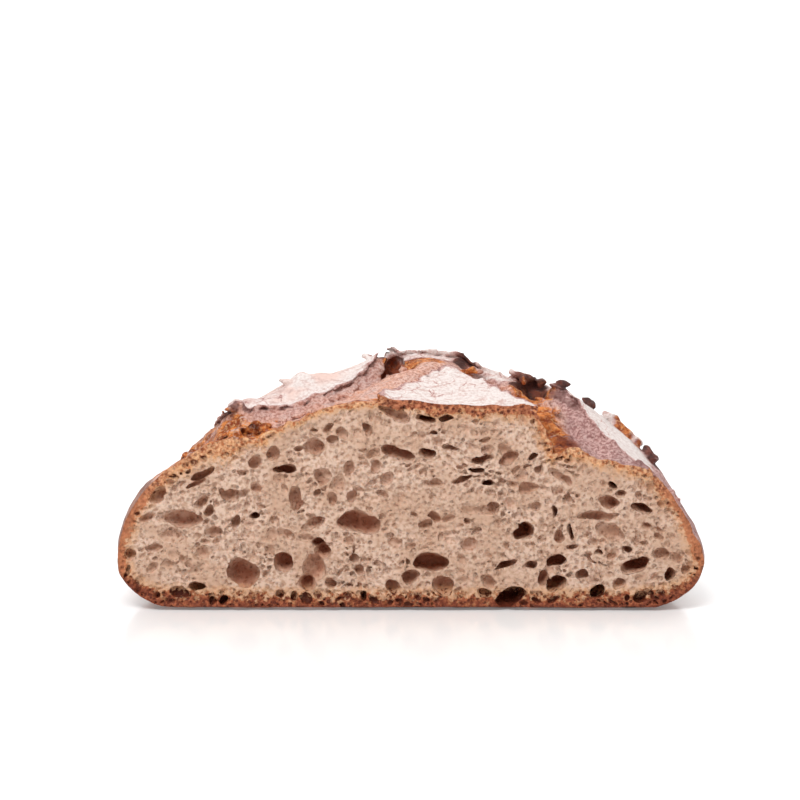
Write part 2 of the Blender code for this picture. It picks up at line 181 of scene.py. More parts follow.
# Flakes and crumbs of crust: x, depth, height above the dough, length, width, thickness, heading and slant.
FLAKES = [
    (53, 47, 2.6, 13, 8, 3.4, -20, 14), (-13, 55, 2, 12, 6, 3, 15, 8),
    (-18, 52, 1.2, 8, 5, 3, -30, 8), (-55, 42, 1.6, 7, 5, 2.6, 20, 8),
    (-76, 21, 1.6, 10, 7, 3.6, 25, -14), (79, 46, 1.8, 10, 6, 4, -30, 30),
    (91, 38, 1.4, 20, 6, 5, -25, 40), (102, 25, 1, 14, 5, 4.5, -35, 46),
    (-2, 46, 0.4, 8, 5, 3, 40, 0), (53, 22, 0.4, 8, 5, 3, -60, 0),
    (-90, 10, 0.5, 11, 6, 3.6, 20, -25), (-72, 7, 0.5, 12, 6, 3.4, 0, -20),
    (49, 30, 0.3, 9, 4, 2.4, -50, 0), (112, 10, 0.5, 8, 5, 3.2, -60, 40),
    (-96, 15, 0.8, 12, 6, 4, 20, -42), (-30, 26, 0.6, 12, 5, 2.6, 35, -14),
    (-48, 14, 0.4, 13, 4, 2.4, 12, -14), (-62, 9, 0.4, 12, 4, 2.6, 14, -18),
    (62, 26, 0.6, 9, 4, 3, -60, 0), (24, 48, 0.4, 8, 4, 2.6, -12, 0),
    (44, 38, 0.5, 9, 4, 2.6, -40, 20), (58, 32, 0.5, 9, 4, 3, -70, 10),
    (66, 42, 1, 6, 5, 3, 0, 20),
]

# Hollows in the torn dough: x, depth, height and the three half sizes.
POCKETS = [
    (-7.5, 53, 96, 4.2, 10, 5.2), (67, 5, 74, 7.5, 7, 5), (-91, 9, 69, 3.2, 4, 2.6),
    (-80, 5, 72, 3.6, 4, 2.6), (59, 10, 79, 3, 5, 3.6), (-68, 5, 76.5, 3, 3.5, 2),
    (-10.5, 41, 93.5, 2.8, 8, 3.4),
]

# Air holes in the cut face: x, height, width, tallness, tilt in degrees and depth.
HOLES = [
    (-97.8, 39.2, 20, 7.6, 0, 4), (-100.4, 32.4, 11.6, 5, 0, 2.5),
    (-83.1, 33.5, 6.8, 5.4, 20, 3), (-85.3, 43.5, 5.1, 5.2, 0, 2.6), (-73.8, 38.1, 4.4, 7.6, 0, 3.5),
    (-66.5, 40.5, 4.4, 3.4, 10, 6), (-48.5, 48.2, 5.8, 9.6, 0, 4), (-53.3, 60.1, 9.5, 3.6, 5, 6),
    (-37.7, 57.5, 6.9, 7.8, 0, 3.2), (-30.6, 55, 6, 8.5, 0, 3), (-39.1, 50.9, 3.4, 3, 0, 2.5),
    (-33.1, 47.5, 4.3, 5.2, 0, 3), (-24.1, 49.2, 4.3, 7, 0, 3), (-10, 56.2, 6, 5.2, 0, 3),
    (-15.4, 62, 4.4, 5.4, -20, 3), (-22, 38.3, 19.5, 9, -4, 6.5),
    (-41.2, 39, 11, 4.4, 20, 3.5), (-44.2, 32.4, 5.4, 4.8, 20, 3),
    (-39.1, 29.6, 6.8, 7, 0, 7), (-37, 24.8, 6.8, 7, 0, 6.5), (-54.2, 20.5, 8, 9, 0, 6.5),
    (-71.6, 15.9, 15.6, 12, -8, 5), (-40.4, 18, 9.6, 9.6, -20, 5),
    (-43.6, 12.2, 6.8, 7.6, 0, 6), (-25, 22.8, 4.7, 5.4, 0, 4), (-22, 17, 5.6, 5.2, 0, 3.5),
    (-34, 12.4, 4.8, 4.8, 0, 3.5), (-119.4, 24.4, 3.8, 7, -12, 4),
    (-120, 17.4, 2.1, 2.6, 0, 2), (-90, 10.4, 7, 3, -6, 8),
    (-98.1, 8.3, 11, 4.6, -6, 3), (-109.2, 27, 6.8, 4.2, 0, 2.6), (-78.9, 5.2, 3.8, 3.9, 0, 5),
    (-83.6, 5.7, 3, 2.6, 0, 3), (-48.9, 5.7, 3.4, 5.2, 0, 4), (-20.3, 5.7, 3, 4.8, 0, 5),
    (-54.9, 7, 4.2, 4.2, 0, 3.5), (-88.3, 59.4, 11.5, 4, 26, 4.5), (-90.8, 54.9, 9, 2.6, 25, 3),
    (-107, 49.2, 9.6, 4.6, 42, 4.5), (-76.3, 50.1, 7.6, 4.8, 5, 3), (-65.6, 52.7, 5.1, 4.8, 0, 3),
    (-8.4, 10.4, 6, 6.8, 0, 5.5), (8.6, 20.5, 17.5, 7.4, 4, 7.5), (-1, 14.6, 6.6, 5, 15, 6),
    (14.7, 11.2, 10, 7.8, 0, 5), (31.4, 8.3, 5.1, 4.2, 0, 4.5), (43, 6.4, 13.6, 6.8, 12, 11),
    (47.8, 34.4, 9.2, 6.4, 8, 9.5), (50, 52.5, 7.7, 6, -8, 3.5), (28.6, 61.5, 7.2, 3.8, 8, 5),
    (32.6, 53.3, 4.2, 3, 10, 7), (33.9, 44.8, 5.4, 4.6, 0, 4.5), (9.4, 40.2, 7.7, 4, -16, 3.6),
    (6.2, 36.6, 6, 3.8, 0, 3), (0.6, 41.8, 3.4, 3, 0, 3), (15.6, 40.5, 4.7, 2.6, 0, 2.6),
    (22.9, 40.1, 3.8, 2.6, 0, 2.6), (25.4, 27.9, 6.8, 5.4, 0, 2.6), (60.9, 41.8, 2.2, 5, 0, 4),
    (68.2, 34.4, 2.2, 6, 0, 6), (62.6, 32.7, 4.3, 4.2, 0, 3.4), (67.7, 27.9, 5.4, 2.2, 0, 3),
    (79.7, 25.7, 3.4, 2.6, 0, 3), (91.2, 26.6, 3, 3.8, 0, 4), (99.4, 36.1, 4.3, 2.6, 0, 3),
    (52.4, 44.4, 5, 3.4, 0, 3), (64.3, 57, 10.6, 3.6, -38, 3.5), (85.3, 54.3, 4.6, 3.4, -38, 7.5),
    (89.1, 50.5, 5, 3.4, -10, 3.6), (84, 46.6, 10.2, 5, -8, 5),
    (98, 44.6, 7.6, 4.2, -28, 7), (81, 40.9, 18, 3.6, -3, 3.4),
    (84.4, 34.2, 13, 7, -22, 3.2), (95.4, 19.6, 10.4, 6, 10, 9.5),
    (105.8, 24.4, 7.8, 7.4, 0, 4.2), (109.6, 14.7, 4.8, 7, -18, 7.5), (98.5, 6.1, 6, 4.8, 0, 3.4),
    (61.8, 21.3, 9, 5.8, 20, 8), (57.1, 13.9, 5, 5, 0, 4.4), (62.6, 12, 8.1, 5.2, 26, 9),
    (41.7, 20.5, 11, 4, 16, 5), (51.9, 19.2, 3.8, 4.2, 0, 4), (73, 15, 5.8, 4.6, 28, 4.6),
    (79, 8.2, 9.2, 6.2, 38, 11), (89.5, 12.2, 5.6, 5.6, 20, 4.6), (-5.8, 67.3, 13.2, 6, -16, 6),
    (6.4, 67.6, 8, 4.8, 0, 5.5), (-6.2, 84.4, 13.6, 3.2, -20, 3.4), (6.2, 81.4, 5.6, 3.2, 0, 9),
    (14.2, 81.8, 8, 2.8, -4, 4.5), (17.7, 70.1, 7.6, 2.6, 4, 3.4), (10, 75.3, 4.2, 2.2, 0, 3),
    (30, 66.8, 7.7, 3.6, 4, 5.5), (40.2, 66.6, 7.8, 4.2, 34, 4.4), (50.9, 66.4, 5.4, 3.2, 30, 4),
    (54.5, 61, 3.8, 3, 0, 3.2), (22.4, 56.6, 10, 2.6, 14, 3.4), (-40.8, 70.6, 7.4, 6.4, 0, 3.2),
    (-46.4, 69.2, 4.3, 3, 0, 3), (-32.7, 73.1, 5.6, 4.3, 10, 3), (-28, 75.8, 4.2, 4.6, 0, 2.8),
    (-33.6, 78.8, 4.6, 3.2, 10, 2.6), (-57.5, 67.5, 5.6, 6, 0, 3.4), (-65.4, 63.4, 5.6, 5.2, 10, 3.6),
    (-70.7, 59.2, 5.6, 3.4, 15, 3), (-26.3, 61.8, 4.6, 6, 0, 3), (-18.2, 78.4, 3.8, 4.6, 0, 3),
    (-40.8, 78.4, 3, 2.4, 0, 2.6),
]
SEAT_SHARE = 0.3  # a hole's middle lies this share of its depth behind the cut

# Holes at random, in the order they are made: tries, least and most width, gap to the next hole, gap
# under the crust, least and most seat as a share of the width, and tallest place.
SCATTERED = [
    (20000, (2.2, 5.4), 0.2, 1.8, (-0.38, 0.15), 94.0),
    (14000, (1.3, 2.8), 0.2, 0.6, (-0.2, 0.3), 9.0),
    (90000, (1.3, 2.4), 0.05, 1.0, (-0.4, 0.0), 94.0),
]
SMALL_BIAS = 1.7  # the higher, the more of them are small
STRETCHES = (1.0, 1.5)
TILT_SPREAD = 0.4

EDGE_ROUNDING = 5.0  # how far the foot of the cut face is set back
EDGE_HEIGHT = 1.7
FLANK_LEAN = 0.5  # holes near the flanks lean along the crust by this angle
SEED = 11
THINNEST_CRUST = 0.7  # a hole leaves this much bread under the skin

# Grid
FINE_STEP = 0.5
BACK_STEP = 1.0
HOLE_REACH = 14.0  # holes are carved this deep
MARGIN = 3.0
LEAST_DEPTH, LEAST_HEIGHT, MOST_HEIGHT = -1.75, -1.25, 111.0

XS = np.arange(-HALF_WIDTH - MARGIN, HALF_WIDTH + MARGIN + FINE_STEP, FINE_STEP)
DEPTHS = np.concatenate([
    np.arange(LEAST_DEPTH, HOLE_REACH + 2, FINE_STEP),
    np.arange(HOLE_REACH + 2.25, MIDDLE_DEPTH + HALF_DEPTH + MARGIN, BACK_STEP),
])
ZS = np.arange(LEAST_HEIGHT, MOST_HEIGHT, FINE_STEP)
HOLE_LAYERS = int(np.searchsorted(DEPTHS, HOLE_REACH))

# The rear is meshed with every second grid line, apart from its top, which shows from the front.
FRONT_END = HOLE_REACH + 1.5
UPPER_END = 78.0
UPPER_START = 45.0
OVERLAP = 2.5
TUCK = 0.15


def smooth_step(value):
    t = np.clip(value, 0.0, 1.0)
    return t * t * (3 - 2 * t)


def rise(value, start, length):
    """From 0 at the start to 1 a length further on."""
    return smooth_step((value - start) / length)


def fall(value, end, length):
    """From 1 a length before the end to 0 at the end."""
    return smooth_step((end - value) / length)


# Noise

def spline_weights(places, spacing, start, count):
    """The weights that give a smooth curve through a row of numbers, as a matrix."""
    steps = (places - start) / spacing + 1.5
    distance = np.abs(steps[:, None] - np.arange(count)[None, :])
    inner = 2 / 3 - distance**2 + distance**3 / 2
    outer = (2 - distance) ** 3 / 6
    return np.where(distance < 1, inner, np.where(distance < 2, outer, 0.0)).astype(np.float32)


def lattice(seed, spacing, *axes):
    """Random numbers on a coarse lattice, and the weights that spread them over the axes."""
    counts = [int((axis[-1] - axis[0]) / spacing) + 5 for axis in axes]
    numbers = np.random.default_rng(seed).uniform(-1, 1, counts).astype(np.float32) * 2.2
    weights = [spline_weights(axis, spacing, axis[0], count) for axis, count in zip(axes, counts)]
    return numbers, weights


def plan_noise(seed, spacing):
    """Smooth noise from about -1 to 1 over x and depth."""
    numbers, (along_x, along_depth) = lattice(seed, spacing, XS, DEPTHS)
    return along_x @ numbers @ along_depth.T


def face_noise(seed, spacing):
    """Smooth noise from about -1 to 1 over x and height."""
    numbers, (along_x, along_z) = lattice(seed, spacing, XS, ZS)
    return along_x @ numbers @ along_z.T


class SolidNoise:
    """Smooth noise from about -1 to 1 in space, given one layer of depth at a time."""

    def __init__(self, seed, spacing):
        self.numbers, weights = lattice(seed, spacing, DEPTHS, XS, ZS)
        self.along_depth, self.along_x, self.along_z = weights

    def layer(self, index):
        near = np.tensordot(self.along_depth[index], self.numbers, axes=1)
        return 1.5 * (self.along_x @ near @ self.along_z.T)


# Shape over the plan: each of these takes x and depth, as arrays of one shape

def shoulder_power(x):
    return SHOULDER_POWER + SHOULDER_SKEW * np.tanh(x / SKEW_REACH)


def plan_radius(x, depth):
    return np.hypot(x / HALF_WIDTH, (depth - MIDDLE_DEPTH) / HALF_DEPTH)


def dome_share(x, depth):
    inside = np.maximum(0.0, 1 - plan_radius(x, depth) ** PLAN_POWER)
    return inside ** shoulder_power(x)


def crest_height(x, depth):
    along = np.maximum(0.0, depth) / CREST_DEPTH
    reach = np.where(x < CREST_X, CREST_REACH_LEFT, CREST_REACH_RIGHT)
    across = np.exp(-(((x - CREST_X) / reach) ** 2))
    return CREST_RISE * (along * np.exp(1 - along)) ** CREST_POWER * across * dome_share(x, depth) ** 2


def distance_to_line(x, depth, points):
    nearest = np.full(x.shape, np.inf)
    for (ax, ay), (bx, by) in zip(points, points[1:]):
        length_squared = (bx - ax) ** 2 + (by - ay) ** 2
        share = np.clip(((x - ax) * (bx - ax) + (depth - ay) * (by - ay)) / length_squared, 0, 1)
        gap = np.hypot(x - ax - share * (bx - ax), depth - ay - share * (by - ay))
        nearest = np.minimum(nearest, gap)
    return nearest


def depth_inside(x, depth, outline):
    """The distance to an outline: positive inside it and negative outside."""
    closed = outline + outline[:1]
    inside = np.zeros(x.shape, bool)
    for (ax, ay), (bx, by) in zip(closed, closed[1:]):
        if ay == by:
            continue
        crosses = ((ay > depth) != (by > depth)) & (x < ax + (depth - ay) / (by - ay) * (bx - ax))
        inside ^= crosses
    distance = distance_to_line(x, depth, closed)
    return np.where(inside, distance, -distance)


def plate_lift(x, depth, lifts):
    total = np.zeros(x.shape)
    weights = np.zeros(x.shape)
    for px, py, lift in lifts:
        weight = 1 / ((x - px) ** 2 + (depth - py) ** 2 + 4.0) ** 1.5
        total += weight * lift
        weights += weight
    return total / weights


class Plan:
    """Everything about the loaf that depends on x and depth only, as maps over the grid."""

    def __init__(self):
        x, depth = np.meshgrid(XS, DEPTHS, indexing="ij")
        self.radius = plan_radius(x, depth)
        share = dome_share(x, depth)
        crest = crest_height(x, depth)
        dome = EQUATOR_HEIGHT + DOME_RISE * share
        self.power = shoulder_power(XS)
        wander = 0.9 * plan_noise(*WANDER_BROAD) + 0.7 * plan_noise(*WANDER_FINE)
        fine_wander = 0.5 * plan_noise(*WANDER_FINEST)
        waves = 0.35 * plan_noise(*PLATE_WAVES)

        relief = crest.copy()
        self.torn = np.zeros(x.shape)
        for points, half_width, drop in TEARS:
            distance = distance_to_line(x, depth, points)
            relief -= drop * np.exp(-((distance / half_width) ** 2))
            self.torn = np.maximum(self.torn, np.exp(-((distance / (half_width * 1.3)) ** 4)))

        self.inset = {}
        self.top = {}
        self.slab = {}
        for name, (outline, lifts) in PLATES.items():
            straight = depth_inside(x, depth, outline)
            inset = straight + wander + fine_wander
            lift = plate_lift(x, depth, lifts)
            under_plate = crest + lift - FILL_BELOW[name]
            cover = smooth_step(1 + (straight - FILL_INSET) / TALUS)
            relief += cover * (under_plate - relief)
            curl = LIP_CURL[name] * np.exp(-np.maximum(inset, 0) / 4)
            self.inset[name] = inset
            self.top[name] = dome + crest + lift + curl + waves
            self.slab[name] = LIP_THICKNESS + (PLATE_THICKNESS - LIP_THICKNESS) * smooth_step(inset / 8)
            self.torn = np.where(inset > 1, 0.0, self.torn)
        fade = smooth_step(share / RELIEF_FADE)
        self.relief = fade * relief
        self.height = dome + self.relief
        slope_x = np.gradient(self.height, XS, axis=0)
        slope_depth = np.gradient(self.height, DEPTHS, axis=1)
        self.tilt = np.maximum(1 / np.sqrt(1 + slope_x**2 + slope_depth**2), LEAST_TILT)
        self.torn *= fade


# The field

SIDE_TOP = 48  # the side is worked out below this height, and blends into the top from BLEND_START
BLEND_START = 30
BLEND_HEIGHT = 16
PLATE_REACH = 8  # a plate is skipped in layers that lie further from its outline


def rim_radius(height, power):
    """How far out the loaf's side is at each height, as a share of its widest radius."""
    share = np.clip((height - EQUATOR_HEIGHT) / DOME_RISE, 0.0, 1.0)
    return (1 - share ** (1 / power)) ** (1 / PLAN_POWER)


def side_distance(plan, j, heights):
    """The distance outside the loaf's side, in one layer, for heights near and below the rim."""
    radius = plan.radius[:, j][:, None]
    reach = (HALF_WIDTH + HALF_DEPTH) / 2
    height = heights[None, :] - plan.relief[:, j][:, None]
    rim = rim_radius(height, plan.power[:, None])
    slope = np.gradient(rim, heights, axis=1) * reach
    upper = (radius - rim) * reach / np.sqrt(1 + slope**2)
    out = np.maximum(radius - BASE_SHARE, 0) / (1 - BASE_SHARE)
    down = (EQUATOR_HEIGHT - heights[None, :]) / EQUATOR_HEIGHT
    corner = np.hypot(out, np.maximum(down, 0)) + 1e-6
    size = EQUATOR_HEIGHT + ((1 - BASE_SHARE) * reach - EQUATOR_HEIGHT) * out / corner
    lower = (corner - 1) * size
    return np.where(heights[None, :] < EQUATOR_HEIGHT, lower, upper)


def add_flakes(layer, plan, j, ragged):
    """Joins the flakes that reach one layer to its field."""
    for x, depth, above, length, width, thickness, heading, slant in FLAKES:
        behind = DEPTHS[j] - depth
        if abs(behind) > length / 2 + 1:
            continue
        near = slice(*np.searchsorted(XS, [x - length, x + length]))
        base = sample(plan.height, (XS, DEPTHS), (np.array([float(x)]), np.array([float(depth)])))[0]
        across, up = XS[near, None] - x, ZS[None, :] - base - above
        turn, lean = math.radians(heading), math.radians(slant)
        along = across * math.cos(turn) + behind * math.sin(turn)
        beside = behind * math.cos(turn) - across * math.sin(turn)
        forward = along * math.cos(lean) - up * math.sin(lean)
        over = up * math.cos(lean) + along * math.sin(lean)
        sizes = ((forward, length), (beside, width), (over, thickness))
        gap = np.sqrt(sum((place * 2 / size) ** 2 for place, size in sizes)) - 1
        flake = gap * thickness / 2 + ragged[near]
        layer[near] = np.minimum(layer[near], flake)


def outer_field(plan):
    """The distance outside the whole loaf, before the cut and the air holes."""
    field = np.empty((len(DEPTHS), len(XS), len(ZS)), np.float32)
    low = ZS < SIDE_TOP
    blend = smooth_step((ZS - BLEND_START) / BLEND_HEIGHT)[None, :]
    lumps = SolidNoise(*LUMPS)
    shreds = SolidNoise(*SHREDS)
    bumps = SolidNoise(*BUMPS)
    upper = smooth_step((ZS - 25) / 15)[None, :]
    for j in range(len(DEPTHS)):
        layer = (ZS[None, :] - plan.height[:, j][:, None]) * plan.tilt[:, j][:, None]
        side = side_distance(plan, j, ZS[low])
        layer[:, low] = side * (1 - blend[:, low]) + layer[:, low] * blend[:, low]
        torn = plan.torn[:, j][:, None]
        coarse, fine, small = lumps.layer(j), shreds.layer(j), bumps.layer(j)
        layer += upper * torn * (1.3 * np.abs(coarse) + 0.6 * fine) + 0.22 * small
        for name in PLATES:
            inset = plan.inset[name][:, j][:, None]
            if inset.max() < -PLATE_REACH:
                continue
            top = plan.top[name][:, j][:, None]
            thickness = plan.slab[name][:, j][:, None]
            tilt = plan.tilt[:, j][:, None]
            ragged = 0.45 * fine + 0.3 * coarse
            over = (ZS[None, :] - top) * tilt
            under = (top - thickness - ZS[None, :]) * tilt
            slab = np.maximum(np.maximum(over, under), -inset) + ragged * smooth_step(1 - inset / 5)
            layer = np.minimum(layer, slab)
        add_flakes(layer, plan, j, 0.7 * fine + 0.6 * coarse)
        for x, depth, height, half_x, half_depth, half_z in POCKETS:
            away = abs(DEPTHS[j] - depth) / half_depth
            if away < 1.2:
                across, up = XS[:, None] - x, ZS[None, :] - height
                gap = np.sqrt((across / half_x) ** 2 + (up / half_z) ** 2 + away**2) - 1
                hollow = -gap * min(half_x, half_z) - 0.8 * coarse - 0.5 * fine
                layer = np.maximum(layer, hollow)
        field[j] = np.maximum(layer, -ZS[None, :])
    return field


class Holes:
    """The air holes, as a field over the front layers: positive inside a hole."""

    def __init__(self, outer):
        shape = (HOLE_LAYERS, len(XS), len(ZS))
        self.field = np.full(shape, -9.0, np.float32)
        self.outer = outer
        self.x = np.empty(shape, np.float32)
        self.depth = np.empty(shape, np.float32)
        self.z = np.empty(shape, np.float32)
        broad = [SolidNoise(HOLE_BROAD_SEED + n, HOLE_BROAD_SPACING) for n in range(3)]
        fine = [SolidNoise(HOLE_FINE_SEED + n, HOLE_FINE_SPACING) for n in range(3)]
        for j in range(HOLE_LAYERS):
            straight = (XS[:, None], DEPTHS[j], ZS[None, :])
            for n, bent in enumerate((self.x, self.depth, self.z)):
                bend = HOLE_BROAD_BEND * broad[n].layer(j)
                bent[j] = straight[n] + bend + HOLE_FINE_BEND * fine[n].layer(j)

    def block(self, x, depth, z, reach):
        """The part of the grid within reach of a place."""
        j = slice(*np.searchsorted(DEPTHS[:HOLE_LAYERS], [depth - reach, depth + reach]))
        i = slice(*np.searchsorted(XS, [x - reach, x + reach]))
        k = slice(*np.searchsorted(ZS, [z - reach, z + reach]))
        return j, i, k

    def carve(self, x, depth, z, half_x, half_depth, half_z, tilt):
        block = self.block(x, depth, z, max(half_x, half_depth, half_z) + 1.6)
        if self.field[block].size == 0:
            return
        across, up = self.x[block] - x, self.z[block] - z
        cos, sin = math.cos(tilt), math.sin(tilt)
        along = (across * cos + up * sin) / half_x
        over = (up * cos - across * sin) / half_z
        back = (self.depth[block] - depth) / half_depth
        inside = (1 - np.sqrt(along**2 + over**2 + back**2)) * min(half_x, half_depth, half_z)
        np.maximum(self.field[block], inside, out=self.field[block])

    def at(self, x, depth, z):
        j = min(int(np.searchsorted(DEPTHS, depth)), HOLE_LAYERS - 1)
        i, k = int(np.searchsorted(XS, x)), int(np.searchsorted(ZS, z))
        return self.field[j, i, k], -self.outer[j, i, k]

    def scatter(self, rng, tries, widths, gap, crust_gap, seat_range, tallest):
        """Carves holes at random where there is bread left, and never close under the crust."""
        xs = rng.uniform(-HALF_WIDTH, HALF_WIDTH, tries)
        zs = rng.uniform(1.0, tallest, tries)
        sizes = widths[0] + (widths[1] - widths[0]) * rng.random(tries) ** SMALL_BIAS
        seats = rng.uniform(*seat_range, tries) * sizes
        stretches = rng.uniform(*STRETCHES, tries)
        tilts = rng.normal(0.0, TILT_SPREAD, tries)
        for x, z, size, seat, stretch, tilt in zip(xs, zs, sizes, seats, stretches, tilts):
            half = size / 2
            near, under = self.at(x, max(seat, 0.1), z)
            if near > -(half * 0.9 + gap) or under < crust_gap + half:
                continue
            lean = tilt + FLANK_LEAN * smooth_step((abs(x) - 50) / 50) * (-1 if x > 0 else 1)
            self.carve(x, seat, z, half * stretch, half * 1.1, half / stretch**0.5, lean)


def carve_holes(outer):
    holes = Holes(outer)
    spread = 1 / math.sqrt(1 - SEAT_SHARE**2)
    for x, z, width, tallness, tilt, depth in HOLES:
        seat = SEAT_SHARE * depth
        holes.carve(x, seat, z, width / 2 * spread, depth, tallness / 2 * spread, math.radians(tilt))
    rng = np.random.default_rng(SEED)
    for kind in SCATTERED:
        holes.scatter(rng, *kind)
    return holes.field


def cut_and_carve(outer, holes):
    """The bread that is left behind the cut, with its holes open."""
    wobble = 0.25 * face_noise(*FACE_BROAD) + 0.14 * face_noise(*FACE_FINE)
    wobble = wobble + EDGE_ROUNDING * smooth_step(1 - ZS / EDGE_HEIGHT)[None, :]
    solid = outer.copy()
    for j, depth in enumerate(DEPTHS):
        if depth < EDGE_ROUNDING + 1:
            np.maximum(solid[j], wobble - depth, out=solid[j])
        if j < HOLE_LAYERS:
            np.maximum(solid[j], np.minimum(holes[j], -outer[j] - THINNEST_CRUST), out=solid[j])
    return solid


# Meshes

def add_object(name, data):
    obj = bpy.data.objects.new(name, data)
    bpy.context.scene.collection.objects.link(obj)
    return obj


CORNERS = [(a, b, c) for a in (0, 1) for b in (0, 1) for c in (0, 1)]
EDGES = [(m, n) for m in range(8) for n in range(m + 1, 8) if bin(m ^ n).count("1") == 1]


def surface_net(field, axes):
    """The surface where a field is zero, as points and four-cornered faces."""
    inside = field < 0
    filled = np.zeros(tuple(size - 1 for size in field.shape), np.uint8)
    for a, b, c in CORNERS:
        filled += inside[a : a + filled.shape[0], b : b + filled.shape[1], c : c + filled.shape[2]]
    cells = np.nonzero((filled > 0) & (filled < 8))
    index = np.full(filled.shape, -1, np.int32)
    index[cells] = np.arange(len(cells[0]))

    values = [field[cells[0] + a, cells[1] + b, cells[2] + c] for a, b, c in CORNERS]
    total = np.zeros((len(cells[0]), 3))
    crossings = np.zeros(len(cells[0]))
    for m, n in EDGES:
        first, second = values[m], values[n]
        crosses = (first < 0) != (second < 0)
        share = np.where(crosses, first / np.where(crosses, first - second, 1), 0)
        start, end = np.array(CORNERS[m]), np.array(CORNERS[n])
        total += crosses[:, None] * (start + share[:, None] * (end - start))
        crossings += crosses
    place = total / crossings[:, None]
    points = np.empty_like(place)
    for axis in range(3):
        low = axes[axis][cells[axis]]
        high = axes[axis][cells[axis] + 1]
        points[:, axis] = low + place[:, axis] * (high - low)

    faces = []
    for axis in range(3):
        first = np.moveaxis(inside, axis, 0)
        turned = np.moveaxis(index, axis, 0)
        for outwards in (True, False):
            a, b = (first[:-1], first[1:]) if outwards else (first[1:], first[:-1])
            p, q, r = np.nonzero((a & ~b)[:, 1:-1, 1:-1])
            ring = [turned[p, q, r], turned[p, q + 1, r], turned[p, q + 1, r + 1], turned[p, q, r + 1]]
            if outwards == (axis == 1):
                ring.reverse()
            faces.append(np.stack(ring, axis=1))
    return points, np.concatenate(faces)


def whole_surface(field):
    """The loaf's surface in three blocks: front, upper and rear, each with its own steps."""
    front = int(np.searchsorted(DEPTHS, FRONT_END))
    upper = int(np.searchsorted(DEPTHS, UPPER_END))
    above = int(np.searchsorted(ZS, UPPER_START))
    behind = int(np.searchsorted(DEPTHS, FRONT_END - OVERLAP))
    blocks = [
        surface_net(field[:front], (DEPTHS[:front], XS, ZS)),
        surface_net(field[front - 2 : upper, :, above:], (DEPTHS[front - 2 : upper], XS, ZS[above:])),
    ]
    points, faces = blocks[1]
    twice = points[faces][:, :, 0].max(axis=1) <= DEPTHS[front - 1]
    blocks[1] = (points, faces[~twice])

    # The rear runs in a little under the other two, so that no gap shows where they meet.
    rear = field[behind:, ::2, ::2].copy()
    depths, heights = DEPTHS[behind:], ZS[::2]
    rear[depths < FRONT_END] += TUCK
    rear[np.ix_(depths < UPPER_END, np.arange(rear.shape[1]), heights > UPPER_START)] += TUCK
    points, faces = surface_net(rear, (depths, XS[::2], heights))
    middle = points[faces].mean(axis=1)
    hidden = (middle[:, 0] < UPPER_END - OVERLAP) & (middle[:, 2] > UPPER_START + OVERLAP)
    blocks.append((points, faces[~hidden]))

    starts = np.cumsum([0] + [len(points) for points, faces in blocks])
    all_points = np.concatenate([points for points, faces in blocks])
    all_faces = np.concatenate([faces + start for (points, faces), start in zip(blocks, starts)])
    block = np.repeat(np.arange(3), [len(faces) for points, faces in blocks])
    return all_points, all_faces, block


def sample(grid, axes, places):
    """The grid's values at the places, read between its points."""
    corners = []
    shares = []
    for axis, place in zip(axes, places):
        cell = np.clip(np.searchsorted(axis, place) - 1, 0, len(axis) - 2)
        corners.append(cell)
        shares.append(np.clip((place - axis[cell]) / (axis[cell + 1] - axis[cell]), 0, 1))
    value = np.zeros(len(places[0]))
    for corner in np.ndindex(*(2,) * len(axes)):
        weight = np.ones(len(places[0]))
        for step, share in zip(corner, shares):
            weight *= share if step else 1 - share
        value += weight * grid[tuple(cell + step for cell, step in zip(corners, corner))]
    return value


def make_piece(name, points, faces, masks, material):
    """One mesh object from some of the surface's faces, with the masks stored on its points."""
    used, faces = np.unique(faces, return_inverse=True)
    faces = faces.reshape(-1, 4)
    mesh = bpy.data.meshes.new(name)
    mesh.vertices.add(len(used))
    mesh.vertices.foreach_set("co", points[used].astype(np.float32).ravel())
    mesh.loops.add(faces.size)
    mesh.loops.foreach_set("vertex_index", faces.astype(np.int32).ravel())
    mesh.polygons.add(len(faces))
    mesh.polygons.foreach_set("loop_start", np.arange(0, faces.size, 4, dtype=np.int32))
    mesh.update(calc_edges=True)
    mesh.validate()
    mesh.shade_smooth()
    for mask, values in masks.items():
        attribute = mesh.attributes.new(mask, "FLOAT", "POINT")
        attribute.data.foreach_set("value", values[used].astype(np.float32))
    mesh.materials.append(material)
    return add_object(name, mesh)


# Colour masks

